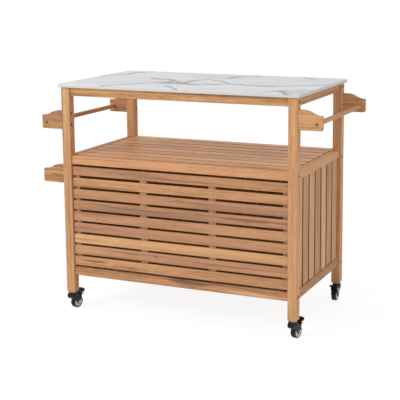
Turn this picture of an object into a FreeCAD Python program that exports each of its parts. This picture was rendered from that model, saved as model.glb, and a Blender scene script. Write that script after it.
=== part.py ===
import FreeCAD, Part
import math
import os

# Outdoor bar cart: a slatted wooden cabinet on four braked casters, with an open shelf, a stone-look top,
# a towel bar on each side, a small rack on the left and two slatted doors at the back.
# Millimetres, +Z up, +X to the right, front at -Y, origin on the floor under the middle of the top.

# Overall sizes
table_height = 914.0
slab_width = 1000.0
slab_depth = 580.0
slab_thickness = 13.0
slab_corner_radius = 6.0
slab_edge_ease = 1.2
slab_overhang = 10.0

# Posts and rails
post_side = 36.0
post_ease = 2.5
post_foot_chamfer = 4.0
rail_thickness = 24.0
rail_setback = 8.0
rail_ease = 1.5
top_rail_height = 34.0
shelf_rail_height = 34.0
bottom_rail_height = 34.0
shelf_height = 630.0
bottom_rail_underside = 145.0

# Slats, battens and bearers
slat_thickness = 12.0
slat_ease = 1.5
front_slat_count = 9
front_slat_gap = 7.6
shelf_slat_count = 8
shelf_slat_gap = 7.0
floor_slat_count = 8
floor_slat_gap = 5.0
slat_end_clearance = 1.5
side_slat_count = 7
side_slat_gap = 6.0
side_slat_setback = 6.0
batten_width = 36.0
batten_thickness = 15.0
batten_count = 4
batten_end_margin = 3.0
side_batten_margin = 14.0
bearer_width = 30.0
bearer_height = 18.0

# Doors at the back
door_side_clearance = 2.0
door_meeting_gap = 3.0
door_end_gap = 4.0
door_slat_count = 8
door_slat_gap = 2.5
door_ledge_inset = 12.0
door_ledge_margin = 26.0
door_brace_width = 36.0
door_brace_inset = 10.0
door_stop_depth = 14.0
door_stop_drop = 16.0
door_stop_clearance = 0.5
knob_neck_radius = 7.0
knob_head_radius = 14.0
knob_projection = 10.0
knob_neck_length = 3.0
knob_rim_bevel = 2.4
hinge_leaf_width = 22.0
hinge_leaf_height = 34.0
hinge_leaf_thickness = 1.6
hinge_barrel_radius = 3.6
hinge_pin_radius = 2.0
hinge_pin_clearance = 0.05
hinge_knuckle_gap = 0.4
hinge_barrel_lift = 0.5

# Towel brackets, bars and side rack
bracket_length = 92.0
bracket_root_height = 73.0
bracket_tip_height = 53.0
bracket_shoulder = 18.0
bracket_lip = 3.0
bracket_nose_radius = 6.0
bracket_thickness = 18.0
bracket_ease = 1.2
bracket_setback = 3.0
right_bracket_drop = 43.0
left_bracket_drop = 94.0
rack_drop = 38.0
bar_radius = 9.0
bar_reach = 71.0
bar_rise = 24.0
bar_socket_depth = 8.0
bar_clearance = 0.1
rack_rail_tip_inset = 16.0
rack_rail_thickness = 12.0
rack_rail_height = 36.0
rack_rail_rise = 14.0
rack_floor_thickness = 10.0
rack_floor_rise = 3.0
rack_floor_slat_count = 2
rack_floor_gap = 6.0

# Bolts
bolt_radius = 3.0
bolt_hole_clearance = 0.2
bolt_head_radius = 6.0
bolt_head_height = 3.0
bolt_head_ease = 1.0
rail_bolt_grip = 22.0
bracket_bolt_grip = 20.0
bracket_bolt_low = 19.0
bracket_bolt_high = 62.0
bar_bolt_grip = 20.0
hole_overrun = 1.0

# Casters
caster_height = 72.0
caster_stud_radius = 5.0
caster_stud_length = 26.0
caster_stud_clearance = 0.05
caster_flange_radius = 13.5
caster_flange_thickness = 3.5
swivel_gap = 0.4
swivel_pin_radius = 5.0
swivel_pin_clearance = 0.05
swivel_cup_radius = 17.0
swivel_rivet_radius = 7.0
swivel_rivet_thickness = 2.5
wheel_diameter = 50.0
wheel_width = 20.0
tread_bevel = 2.4
tyre_thickness = 5.0
rim_width = 2.0
rim_recess = 1.0
rim_slope = 1.0
hub_radius = 8.0
hub_length = 20.6
wheel_web = 8.0
axle_radius = 3.0
axle_clearance = 0.05
axle_head_radius = 5.5
axle_head_thickness = 1.6
caster_trail = 20.0
fork_gap = 1.6
fork_plate = 2.6
fork_eye_radius = 8.0
fork_eye_start = 205.0
fork_eye_end = 335.0
fork_lug_start = 20.0
fork_nose = 19.0
fork_nose_radius = 13.5
fork_nose_end = 290.0
hood_clearance = 1.6
hood_thickness = 2.6
hood_start_angle = 90.0
hood_end_angle = 80.0
pedal_angle = 66.0
pedal_pivot_lift = 8.0
pedal_pin_radius = 2.0
pedal_pin_clearance = 0.05
pedal_barrel_radius = 4.2
pedal_lug_radius = 5.0
pedal_side_gap = 0.5
pedal_thickness = 4.5
pedal_reach = 19.0
pedal_width = 34.0
pedal_corner_radius = 8.0
pedal_rise_angle = 34.0
pedal_neck_length = 2.0
pedal_neck_lap = 1.0
pedal_tongue_length = 24.0
pedal_tongue_width = 14.0
pedal_tongue_thickness = 2.5
pedal_tongue_fall = 14.0
pedal_room_start = 9.0
pedal_room_radius = 50.0
brake_shoe_gap = 0.6
brake_shoe_width = 6.0
caster_headings = {"front_left": 78.0, "front_right": 78.0, "back_left": -95.0, "back_right": -88.0}

# Planes that several pieces share
slab_underside = table_height - slab_thickness
post_outer_x = slab_width / 2 - slab_overhang
post_outer_y = slab_depth / 2 - slab_overhang
post_inner_x = post_outer_x - post_side
post_inner_y = post_outer_y - post_side
rail_outer_x = post_outer_x - rail_setback
rail_outer_y = post_outer_y - rail_setback
rail_inner_x = rail_outer_x - rail_thickness
rail_inner_y = rail_outer_y - rail_thickness
shelf_rail_underside = shelf_height - shelf_rail_height
bottom_rail_top = bottom_rail_underside + bottom_rail_height
back_rail_top = shelf_height - slat_thickness
back_rail_underside = back_rail_top - shelf_rail_height
rail_mid_y = rail_outer_y - rail_thickness / 2
wheel_radius = wheel_diameter / 2
ROOM = 1000.0

UP = FreeCAD.Vector(0, 0, 1)
ALONG_X = FreeCAD.Vector(1, 0, 0)
ALONG_Y = FreeCAD.Vector(0, 1, 0)

nodes = {}


def point(x, y, z):
    return FreeCAD.Vector(x, y, z)


def block(x, y, z):
    """A box between the low and high values of x, y and z."""
    return Part.makeBox(x[1] - x[0], y[1] - y[0], z[1] - z[0], point(x[0], y[0], z[0]))


def eased(solid, direction, amount, rounded=False):
    """Breaks the long edges of a straight piece, those that run along the given direction."""
    edges = []
    for edge in solid.Edges:
        run = edge.Vertexes[-1].Point - edge.Vertexes[0].Point
        if run.Length > 1e-6 and abs(run.normalize().dot(direction)) > 0.999:
            edges.append(edge)
    if rounded:
        return solid.makeFillet(amount, edges).Solids[0]
    return solid.makeChamfer(amount, edges).Solids[0]


def span(middle, width):
    return (middle - width / 2, middle + width / 2)


def both(side, low, high):
    """The range from low to high on the +side, or its mirror image on the -side."""
    return (low, high) if side > 0 else (-high, -low)


def row(low, high, count, gap, end_gap):
    """Equal pieces between two planes, a gap apart, with an end gap at each plane."""
    width = (high - low - 2 * end_gap - (count - 1) * gap) / count
    return [(low + end_gap + i * (width + gap), low + end_gap + i * (width + gap) + width) for i in range(count)]


def drilled(solid, start, direction, radius, depth):
    return solid.cut(Part.makeCylinder(radius, depth, start, direction))


def bolt(seat, direction, grip):
    """A button-head bolt: its head stands on the seat and its shank runs on in the given direction."""
    back = direction * -bolt_head_height
    head = Part.makeCylinder(bolt_head_radius, bolt_head_height, seat + back, direction)
    rim = [e for e in head.Edges if (e.BoundBox.Center - seat - back).Length < 1e-3 and len(e.Vertexes) == 1]
    head = head.makeChamfer(bolt_head_ease, rim).Solids[0]
    return head.fuse(Part.makeCylinder(bolt_radius, grip, seat, direction)).removeSplitter()


def polygon_face(points):
    return Part.Face(Part.makePolygon(points + [points[0]]))


def add(name, *solids):
    nodes.setdefault(name, []).extend(solids)


# Tabletop: one thin slab with rounded corners and eased arrises, laid on the posts and top rails.
slab = block((-slab_width / 2, slab_width / 2), (-slab_depth / 2, slab_depth / 2), (slab_underside, table_height))
slab = eased(slab, UP, slab_corner_radius, rounded=True)
rims = [e for e in slab.Edges if abs(e.Vertexes[0].Z - e.Vertexes[-1].Z) < 1e-6]
add("tabletop", slab.makeChamfer(slab_edge_ease, rims).Solids[0])

# Posts: square legs with rounded arrises and a chamfered foot, bored for the bolts and the caster stud.
shelf_bolt_levels = {"front": shelf_height - shelf_rail_height / 2, "back": back_rail_top - shelf_rail_height / 2}
frame_bolt_levels = {
    side: [slab_underside - top_rail_height / 2, level, bottom_rail_underside + bottom_rail_height / 2]
    for side, level in shelf_bolt_levels.items()
}
bracket_mid_y = post_outer_y - bracket_setback - bracket_thickness / 2
bracket_undersides = {
    -1: slab_underside - left_bracket_drop - bracket_root_height,
    1: slab_underside - right_bracket_drop - bracket_root_height,
}
rack_underside = shelf_height - rack_drop - bracket_root_height
hole_radius = bolt_radius + bolt_hole_clearance
corners = [(ns, ew) for ns in ("front", "back") for ew in ("left", "right")]

for ns, ew in corners:
    sx = 1 if ew == "right" else -1
    sy = 1 if ns == "back" else -1
    post = block(
        both(sx, post_inner_x, post_outer_x), both(sy, post_inner_y, post_outer_y), (caster_height, slab_underside)
    )
    foot = [e for e in post.Edges if max(abs(v.Z - caster_height) for v in e.Vertexes) < 1e-6]
    post = post.makeChamfer(post_foot_chamfer, foot).common(eased(post, UP, post_ease, rounded=True))
    mid_x = sx * (post_outer_x - post_side / 2)
    mid_y = sy * (post_outer_y - post_side / 2)
    stud_hole = caster_stud_radius + caster_stud_clearance
    post = drilled(post, point(mid_x, mid_y, caster_height), UP, stud_hole, caster_stud_length + hole_overrun)
    inward = ALONG_X * -sx
    for level in frame_bolt_levels[ns]:
        post = drilled(post, point(sx * post_outer_x, sy * rail_mid_y, level), inward, hole_radius, post_side)
    for rise in (bracket_bolt_low, bracket_bolt_high):
        level = bracket_undersides[sx] + rise
        post = drilled(post, point(sx * post_outer_x, sy * bracket_mid_y, level), inward, hole_radius, post_side)
    add("post_%s_%s" % (ns, ew), post)

# Rails: three levels of straight rails between the posts. The front and back ones are bolted through
# the posts, so their ends are drilled. The back shelf rail is a board lower, because the last board covers it.
rail_levels = {
    "top": (slab_underside - top_rail_height, slab_underside),
    "shelf": (shelf_rail_underside, shelf_height),
    "bottom": (bottom_rail_underside, bottom_rail_top),
}
for level, heights in rail_levels.items():
    for side, sy in (("front", -1), ("back", 1)):
        own_heights = heights
        if (level, side) == ("shelf", "back"):
            own_heights = (back_rail_underside, back_rail_top)
        middle = (own_heights[0] + own_heights[1]) / 2
        rail = block((-post_inner_x, post_inner_x), both(sy, rail_inner_y, rail_outer_y), own_heights)
        rail = eased(rail, ALONG_X, rail_ease)
        for sx in (-1, 1):
            start = point(sx * post_inner_x, sy * rail_mid_y, middle)
            rail = drilled(rail, start, ALONG_X * -sx, hole_radius, rail_bolt_grip + hole_overrun)
        add("%s_rail_%s" % (level, side), rail)
    for side, sx in (("left", -1), ("right", 1)):
        rail = block(both(sx, rail_inner_x, rail_outer_x), (-post_inner_y, post_inner_y), heights)
        add("%s_rail_%s" % (level, side), eased(rail, ALONG_Y, rail_ease))

# Shelf and cabinet floor: slats along the cart, flush with the front rail, on bearers between the rails.
# The shelf runs back over its back rail, and the cabinet floor stops short of its own.
slat_half_length = post_inner_x - slat_end_clearance
bearer_centres = [
    -post_inner_x + bearer_width / 2 + i * (2 * post_inner_x - bearer_width) / (batten_count - 1)
    for i in range(batten_count)
]
shelf_end = rail_outer_y + shelf_slat_gap
shelf_rows = row(-rail_inner_y, shelf_end, shelf_slat_count, shelf_slat_gap, shelf_slat_gap)
floor_rows = row(-rail_inner_y, rail_inner_y, floor_slat_count, floor_slat_gap, floor_slat_gap)
for name, top, rows in (("shelf", shelf_height, shelf_rows), ("floor", bottom_rail_top, floor_rows)):
    for y in rows:
        slat = block((-slat_half_length, slat_half_length), y, (top - slat_thickness, top))
        add(name + "_slats", eased(slat, ALONG_X, slat_ease))
    for x in bearer_centres:
        z = (top - slat_thickness - bearer_height, top - slat_thickness)
        bearer = block(span(x, bearer_width), (-rail_inner_y, rail_inner_y), z)
        add(name + "_bearers", eased(bearer, ALONG_Y, slat_ease))

# Front panel: nine slats nailed to four upright battens, set between the posts flush with the rails.
slat_levels = row(bottom_rail_top, shelf_rail_underside, front_slat_count, front_slat_gap, front_slat_gap)
batten_z = (slat_levels[0][0] + batten_end_margin, slat_levels[-1][1] - batten_end_margin)
front_slat_y = (-rail_outer_y, -rail_outer_y + slat_thickness)
for z in slat_levels:
    slat = block((-slat_half_length, slat_half_length), front_slat_y, z)
    add("front_slats", eased(slat, ALONG_X, slat_ease))
for i in range(batten_count):
    x = -post_inner_x + batten_width / 2 + i * (2 * post_inner_x - batten_width) / (batten_count - 1)
    batten = block(span(x, batten_width), (front_slat_y[1], front_slat_y[1] + batten_thickness), batten_z)
    add("front_battens", eased(batten, UP, slat_ease))

# Side panels: upright slats between the shelf rail and the bottom rail, nailed to two battens inside.
side_slat_outer = rail_outer_x - side_slat_setback
side_slat_inner = side_slat_outer - slat_thickness
side_batten_levels = [
    (bottom_rail_top + side_batten_margin, bottom_rail_top + side_batten_margin + batten_width),
    (shelf_rail_underside - side_batten_margin - batten_width, shelf_rail_underside - side_batten_margin),
]
for side, sx in (("left", -1), ("right", 1)):
    for y in row(-post_inner_y, post_inner_y, side_slat_count, side_slat_gap, slat_end_clearance):
        slat = block(both(sx, side_slat_inner, side_slat_outer), y, (bottom_rail_top, shelf_rail_underside))
        add("side_slats_" + side, eased(slat, UP, slat_ease))
    for z in side_batten_levels:
        x = both(sx, side_slat_inner - batten_thickness, side_slat_inner)
        add("side_battens_" + side, eased(block(x, (-post_inner_y, post_inner_y), z), ALONG_Y, slat_ease))

# Doors: two ledged and braced doors of upright slats, flush with the back of the posts, hung on surface
# hinges at the level of their ledges, with turned knobs.
door_y = (post_outer_y - slat_thickness, post_outer_y)
door_z = (bottom_rail_top + door_end_gap, back_rail_underside - door_end_gap)
ledge_levels = [
    (door_z[0] + door_ledge_margin, door_z[0] + door_ledge_margin + batten_width),
    (door_z[1] - door_ledge_margin - batten_width, door_z[1] - door_ledge_margin),
]
hinge_x = post_inner_x - door_side_clearance / 2
hinge_y = post_outer_y + hinge_barrel_radius + hinge_barrel_lift
hinge_levels = [(low + high) / 2 for low, high in ledge_levels]
knuckle = hinge_leaf_height / 3


def hinge_leaf(sx, level, on_door):
    """One leaf of a surface hinge: a plate on the wood and its knuckles round the pin. The leaf on the frame
    has the two outer knuckles, the leaf on the door the middle one."""
    outward = -sx if on_door else sx
    plate_x = (hinge_x * sx, hinge_x * sx + outward * hinge_leaf_width)
    plate = block(
        (min(plate_x), max(plate_x)),
        (post_outer_y, post_outer_y + hinge_leaf_thickness),
        span(level, hinge_leaf_height),
    )
    middle = span(level, knuckle - hinge_knuckle_gap)
    low = (level - hinge_leaf_height / 2, level - knuckle / 2)
    high = (level + knuckle / 2, level + hinge_leaf_height / 2)
    own, other = ([middle], [low, high]) if on_door else ([low, high], [span(level, knuckle)])
    leaf = plate
    for z in own:
        barrel = Part.makeCylinder(hinge_barrel_radius, z[1] - z[0], point(hinge_x * sx, hinge_y, z[0]), UP)
        web_x = (hinge_x * sx, hinge_x * sx + outward * hinge_barrel_radius)
        web = block((min(web_x), max(web_x)), (post_outer_y, hinge_y), z)
        leaf = leaf.fuse(barrel).fuse(web)
    for z in other:
        margin = hinge_knuckle_gap if on_door else 0.0
        room = hinge_barrel_radius + hinge_barrel_lift + hinge_knuckle_gap
        base = point(hinge_x * sx, hinge_y, z[0] - margin)
        leaf = leaf.cut(Part.makeCylinder(room, z[1] - z[0] + 2 * margin, base, UP))
    bore = hinge_pin_radius + hinge_pin_clearance
    base = point(hinge_x * sx, hinge_y, level - hinge_leaf_height)
    return leaf.cut(Part.makeCylinder(bore, 2 * hinge_leaf_height, base, UP)).removeSplitter()


def hinge_pin(sx, level):
    """The pin through the knuckles, with a small round head at the top and bottom."""
    half = hinge_leaf_height / 2
    base = point(hinge_x * sx, hinge_y, level - half)
    pin = Part.makeCylinder(hinge_pin_radius, hinge_leaf_height, base, UP)
    for z in (level - half - hinge_leaf_thickness, level + half):
        seat = point(hinge_x * sx, hinge_y, z)
        pin = pin.fuse(Part.makeCylinder(hinge_barrel_radius, hinge_leaf_thickness, seat, UP))
    return pin.removeSplitter()


def turned_knob(x, z):
    """A low turned knob: a short neck, then a head with a bevelled rim, revolved about its own axis along Y."""
    half_profile = [
        point(0, 0, 0),
        point(knob_neck_radius, 0, 0),
        point(knob_neck_radius, knob_neck_length, 0),
        point(knob_head_radius - knob_rim_bevel, knob_neck_length, 0),
        point(knob_head_radius, knob_neck_length + knob_rim_bevel, 0),
        point(knob_head_radius, knob_projection - knob_rim_bevel, 0),
        point(knob_head_radius - knob_rim_bevel, knob_projection, 0),
        point(0, knob_projection, 0),
    ]
    knob = polygon_face(half_profile).revolve(point(0, 0, 0), ALONG_Y, 360)
    knob.translate(point(x, post_outer_y, z))
    return knob


for side, sx in (("left", -1), ("right", 1)):
    free_edge = door_meeting_gap / 2
    hung_edge = post_inner_x - door_side_clearance
    slats = row(free_edge, hung_edge, door_slat_count, door_slat_gap, 0.0)
    for low, high in slats:
        slat = block(both(sx, low, high), door_y, door_z)
        add("door_slats_" + side, eased(slat, UP, slat_ease))
    ledge_x = (free_edge + door_ledge_inset, hung_edge - door_ledge_inset)
    ledge_y = (door_y[0] - batten_thickness, door_y[0])
    for z in ledge_levels:
        add("door_battens_" + side, eased(block(both(sx, *ledge_x), ledge_y, z), ALONG_X, slat_ease))
    foot_z = ledge_levels[0][1]
    head_z = ledge_levels[1][0]
    near = sx * (hung_edge - door_ledge_inset - door_brace_inset)
    far = sx * (free_edge + door_ledge_inset + door_brace_inset)
    brace = polygon_face([
        point(near, ledge_y[0], foot_z),
        point(far + sx * door_brace_width, ledge_y[0], head_z),
        point(far, ledge_y[0], head_z),
        point(near - sx * door_brace_width, ledge_y[0], foot_z),
    ])
    add("door_battens_" + side, brace.extrude(ALONG_Y * batten_thickness))
    knob_x = sx * (slats[0][0] + slats[0][1]) / 2
    add("door_knob_" + side, turned_knob(knob_x, (door_z[0] + door_z[1]) / 2))
    for level in hinge_levels:
        add("door_hinge_leaves_" + side, hinge_leaf(sx, level, True))
        add("frame_hinges", hinge_leaf(sx, level, False), hinge_pin(sx, level))

# Door stop: a strip under the back shelf rail that the slats of both doors close against.
stop_y = (door_y[0] - door_stop_clearance - door_stop_depth, door_y[0] - door_stop_clearance)
stop = block((-post_inner_x, post_inner_x), stop_y, (back_rail_underside - door_stop_drop, back_rail_underside))
add("door_stop", eased(stop, ALONG_X, slat_ease))


# Towel brackets and rack ends: one board profile, level at the post, falling in an ogee to a lower tip.
def ogee_board(sx, sy, underside):
    """The bracket's outline in its own plane: two equal tangent arcs make the ogee of its top edge."""
    fall = bracket_root_height - bracket_tip_height
    run = bracket_length - bracket_shoulder - bracket_lip
    radius = (run * run + fall * fall) / (4 * fall)
    half_turn = math.asin(run / 2 / radius) / 2
    far = radius * math.sin(half_turn)
    drop = radius * (1 - math.cos(half_turn))
    nose = bracket_nose_radius
    bevel = nose * (1 - math.sqrt(0.5))

    def at(reach, height):
        return point(sx * (post_outer_x + reach), 0, underside + height)

    shoulder = at(bracket_shoulder, bracket_root_height)
    inflection = at(bracket_shoulder + run / 2, bracket_root_height - fall / 2)
    lip = at(bracket_length - bracket_lip, bracket_tip_height)
    outline = [
        Part.LineSegment(at(0, 0), at(0, bracket_root_height)),
        Part.LineSegment(at(0, bracket_root_height), shoulder),
        Part.Arc(shoulder, at(bracket_shoulder + far, bracket_root_height - drop), inflection),
        Part.Arc(inflection, at(bracket_length - bracket_lip - far, bracket_tip_height + drop), lip),
        Part.LineSegment(lip, at(bracket_length, bracket_tip_height)),
        Part.LineSegment(at(bracket_length, bracket_tip_height), at(bracket_length, nose)),
        Part.Arc(at(bracket_length, nose), at(bracket_length - bevel, bevel), at(bracket_length - nose, 0)),
        Part.LineSegment(at(bracket_length - nose, 0), at(0, 0)),
    ]
    board = Part.Face(Part.Wire([piece.toShape() for piece in outline])).extrude(ALONG_Y * bracket_thickness)
    at_post = abs(at(0, 0).x)
    arrises = [e for e in board.Edges if e.BoundBox.YLength < 1e-6]
    arrises = [e for e in arrises if max(abs(v.X) - at_post for v in e.Vertexes) > 1e-6]
    board = board.makeChamfer(bracket_ease, arrises).Solids[0]
    board.translate(ALONG_Y * (sy * bracket_mid_y - bracket_thickness / 2))
    return board


bracket_inner_y = bracket_mid_y - bracket_thickness / 2
bracket_outer_y = bracket_mid_y + bracket_thickness / 2
for side, sx in (("left", -1), ("right", 1)):
    underside = bracket_undersides[sx]
    bar_x = sx * (post_outer_x + bar_reach)
    bar_z = underside + bar_rise
    for sy in (-1, 1):
        board = ogee_board(sx, sy, underside)
        socket = point(bar_x, sy * bracket_inner_y, bar_z)
        board = drilled(board, socket, ALONG_Y * sy, bar_radius + bar_clearance, bar_socket_depth)
        outer = point(bar_x, sy * bracket_outer_y, bar_z)
        board = drilled(board, outer, ALONG_Y * -sy, hole_radius, bracket_thickness)
        for rise in (bracket_bolt_low, bracket_bolt_high):
            seat = point(sx * post_outer_x, sy * bracket_mid_y, underside + rise)
            board = drilled(board, seat, ALONG_X * sx, hole_radius, bracket_bolt_grip + hole_overrun)
            head = point(sx * post_inner_x, sy * bracket_mid_y, underside + rise)
            add("bracket_bolts", bolt(head, ALONG_X * sx, post_side + bracket_bolt_grip))
        add("towel_brackets_" + side, board)
        add("bracket_bolts", bolt(outer, ALONG_Y * -sy, bar_bolt_grip))
    bar_half = bracket_inner_y + bar_socket_depth - bar_clearance
    bar = Part.makeCylinder(bar_radius, 2 * bar_half, point(bar_x, -bar_half, bar_z), ALONG_Y)
    for sy in (-1, 1):
        depth = bar_bolt_grip - bracket_thickness + bar_socket_depth + hole_overrun
        bar = drilled(bar, point(bar_x, sy * bar_half, bar_z), ALONG_Y * -sy, hole_radius, depth)
    add("towel_bar_" + side, bar)

# Frame bolts: through the outer face of each post into the end of a front or back rail.
for ns, ew in corners:
    sx = 1 if ew == "right" else -1
    sy = 1 if ns == "back" else -1
    for level in frame_bolt_levels[ns]:
        seat = point(sx * post_outer_x, sy * rail_mid_y, level)
        add("frame_bolts", bolt(seat, ALONG_X * -sx, post_side + rail_bolt_grip))

# Side rack: two ends of the bracket profile on the left posts, a slatted floor and a rail near the tip.
for sy in (-1, 1):
    add("rack_ends", ogee_board(-1, sy, rack_underside))
rack_y = (-bracket_inner_y, bracket_inner_y)
rack_rail_outer = post_outer_x + bracket_length - rack_rail_tip_inset
rack_rail_inner = rack_rail_outer - rack_rail_thickness
rack_rail_z = (rack_underside + rack_rail_rise, rack_underside + rack_rail_rise + rack_rail_height)
rack_rail = block((-rack_rail_outer, -rack_rail_inner), rack_y, rack_rail_z)
add("rack_rail", eased(rack_rail, ALONG_Y, slat_ease))
rack_floor_z = (rack_underside + rack_floor_rise, rack_underside + rack_floor_rise + rack_floor_thickness)
for x in row(post_outer_x, rack_rail_outer, rack_floor_slat_count, rack_floor_gap, 0.0):
    add("rack_floor", eased(block((-x[1], -x[0]), rack_y, rack_floor_z), ALONG_Y, slat_ease))


# Casters. Each is drawn with its stem on the Z axis and its wheel trailing towards +X, then turned to its heading.
axle = point(caster_trail, 0, wheel_radius)
fork_inner = wheel_width / 2 + fork_gap
fork_outer = fork_inner + fork_plate
hood_inner = wheel_radius + hood_clearance
hood_outer = hood_inner + hood_thickness
crown_top = wheel_radius + hood_outer
cup_top = caster_height - caster_flange_thickness - swivel_gap
pedal_pivot_radius = wheel_radius + pedal_pivot_lift
pivot_turn = math.radians(pedal_angle)
pedal_pivot = axle + point(pedal_pivot_radius * math.cos(pivot_turn), 0, pedal_pivot_radius * math.sin(pivot_turn))


def on_circle(centre, radius, degrees):
    turn = math.radians(degrees)
    return centre + point(radius * math.cos(turn), 0, radius * math.sin(turn))


def across(radius, half_width, centre):
    """A cylinder along Y, centred on the caster's middle plane."""
    return Part.makeCylinder(radius, 2 * half_width, centre - ALONG_Y * half_width, ALONG_Y)


def plate_between(face, half_width):
    solid = face.extrude(ALONG_Y * (2 * half_width))
    solid.translate(ALONG_Y * -half_width)
    return solid


def caster_stem():
    """The fixed part: a stud in the post, a flange under it, and the swivel pin with its riveted end."""
    flange_z = caster_height - caster_flange_thickness
    crown_underside = crown_top - hood_thickness
    rivet_z = crown_underside - swivel_gap - swivel_rivet_thickness
    stem = Part.makeCylinder(caster_stud_radius, caster_stud_length, point(0, 0, caster_height), UP)
    stem = stem.fuse(Part.makeCylinder(caster_flange_radius, caster_flange_thickness, point(0, 0, flange_z), UP))
    stem = stem.fuse(Part.makeCylinder(swivel_pin_radius, flange_z - rivet_z, point(0, 0, rivet_z), UP))
    rivet = Part.makeCylinder(swivel_rivet_radius, swivel_rivet_thickness, point(0, 0, rivet_z), UP)
    return stem.fuse(rivet).removeSplitter()


def caster_fork():
    """A hooded fork: one side outline carried across, hollowed for the wheel, with the swivel cup on its crown
    and two lugs that hold the pedal's pin."""
    crown_underside = crown_top - hood_thickness
    nose = point(fork_nose_radius - fork_nose, 0, cup_top - fork_nose_radius)
    nose_top = on_circle(nose, fork_nose_radius, hood_start_angle)
    nose_front = on_circle(nose, fork_nose_radius, (hood_start_angle + fork_nose_end) / 2)
    nose_low = on_circle(nose, fork_nose_radius, fork_nose_end)
    eye_front = on_circle(axle, fork_eye_radius, fork_eye_start)
    eye_low = on_circle(axle, fork_eye_radius, (fork_eye_start + fork_eye_end) / 2)
    eye_back = on_circle(axle, fork_eye_radius, fork_eye_end)
    hood_end = on_circle(axle, hood_outer, hood_end_angle)
    hood_mid = on_circle(axle, hood_outer, (hood_start_angle + hood_end_angle) / 2)
    hood_top = on_circle(axle, hood_outer, hood_start_angle)
    outline = [
        Part.LineSegment(hood_top, nose_top),
        Part.Arc(nose_top, nose_front, nose_low),
        Part.LineSegment(nose_low, eye_front),
        Part.Arc(eye_front, eye_low, eye_back),
        Part.LineSegment(eye_back, hood_end),
        Part.Arc(hood_end, hood_mid, hood_top),
    ]
    body = plate_between(Part.Face(Part.Wire([edge.toShape() for edge in outline])), fork_outer)
    lug_foot = on_circle(axle, fork_eye_radius, fork_lug_start)
    lug = polygon_face([axle, lug_foot, pedal_pivot + point(pedal_lug_radius, 0, 0), pedal_pivot, hood_end])
    lugs = plate_between(lug, fork_outer).fuse(across(pedal_lug_radius, fork_outer, pedal_pivot))
    body = body.fuse(lugs)
    wheel_room = across(hood_inner, fork_inner, axle)
    nose_room = across(fork_nose_radius - hood_thickness, fork_inner, nose)
    front_room = block((nose.x, caster_trail), span(0, 2 * fork_inner), (0, crown_underside)).fuse(nose_room)
    pedal_room = block((pedal_pivot.x - pedal_room_start, ROOM), span(0, 2 * fork_inner), (0, caster_height))
    pedal_room = pedal_room.common(across(pedal_room_radius, fork_inner, pedal_pivot))
    below_axle = on_circle(axle, ROOM, -hood_start_angle)
    past_hood = polygon_face([axle, on_circle(axle, ROOM, hood_end_angle), below_axle])
    hood = across(hood_outer, fork_inner, axle).cut(plate_between(past_hood, fork_outer))
    body = body.cut(wheel_room).cut(front_room).cut(pedal_room.cut(hood))
    cup = Part.makeCylinder(swivel_cup_radius, cup_top - crown_underside, point(0, 0, crown_underside), UP)
    body = body.fuse(cup)
    body = drilled(body, point(0, 0, 0), UP, swivel_pin_radius + swivel_pin_clearance, caster_height)
    body = body.cut(across(axle_radius + axle_clearance, fork_outer, axle))
    body = body.fuse(across(pedal_pin_radius, fork_outer, pedal_pivot))
    return body.removeSplitter()


def caster_axle():
    """The axle, riveted over on both sides of the fork."""
    shaft = across(axle_radius, fork_outer, axle)
    for sy in (-1, 1):
        start = axle + ALONG_Y * (sy * fork_outer)
        shaft = shaft.fuse(Part.makeCylinder(axle_head_radius, axle_head_thickness, start, ALONG_Y * sy))
    return shaft.removeSplitter()


def caster_wheel():
    """The wheel's core, with its hub, web and rim, and the tyre round it, both revolved about the axle."""
    seat = wheel_radius - tyre_thickness
    half = wheel_width / 2
    rim_half = half - rim_recess
    rim_inner = seat - rim_width
    bore = axle_radius + axle_clearance
    core_side = [
        (bore, hub_length / 2),
        (hub_radius, hub_length / 2),
        (hub_radius, wheel_web / 2),
        (rim_inner - rim_slope, wheel_web / 2),
        (rim_inner, rim_half),
        (seat, rim_half),
    ]
    tyre_side = [(seat, half), (wheel_radius - tread_bevel, half), (wheel_radius, half - tread_bevel)]

    def turned(side):
        """Revolves a half section, given as (radius, distance from the middle plane), and its mirror image."""
        near = [axle + point(0, -out, radius) for radius, out in side]
        far = [axle + point(0, out, radius) for radius, out in reversed(side)]
        return polygon_face(near + far).revolve(axle, ALONG_Y, 360)

    return [turned(core_side), turned(tyre_side)]


def caster_pedal():
    """The brake pedal: a barrel on its pin, a shoe that points at the tyre, a broad foot plate that rises to
    its end, and below it a narrow tongue that frees the brake."""
    half = fork_inner - pedal_side_gap
    barrel = across(pedal_barrel_radius, half, pedal_pivot)
    to_axle = (axle - pedal_pivot).normalize()
    sideways = point(-to_axle.z, 0, to_axle.x) * (brake_shoe_width / 2)
    shoe_end = pedal_pivot + to_axle * (pedal_pivot_radius - wheel_radius - brake_shoe_gap)
    shoe = polygon_face([pedal_pivot + sideways, shoe_end + sideways, shoe_end - sideways, pedal_pivot - sideways])
    shoe = plate_between(shoe, wheel_width / 2).cut(across(wheel_radius + brake_shoe_gap, wheel_width, axle))
    neck_end = pedal_lug_radius + pedal_neck_length
    neck = block((0, neck_end + pedal_neck_lap), span(0, 2 * half), (0, pedal_thickness))
    foot = block((neck_end, neck_end + pedal_reach), span(0, pedal_width), (0, pedal_thickness))
    foot = eased(foot, UP, pedal_corner_radius, rounded=True)
    plate = neck.fuse(foot)
    plate.rotate(point(0, 0, 0), ALONG_Y, -pedal_rise_angle)
    plate.translate(pedal_pivot)
    tongue = block((0, pedal_tongue_length), span(0, pedal_tongue_width), span(0, pedal_tongue_thickness))
    tongue.rotate(point(0, 0, 0), ALONG_Y, pedal_tongue_fall)
    tongue.translate(pedal_pivot)
    pedal = barrel.fuse(shoe).fuse(plate).fuse(tongue)
    return pedal.cut(across(pedal_pin_radius + pedal_pin_clearance, fork_outer, pedal_pivot)).removeSplitter()


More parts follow.
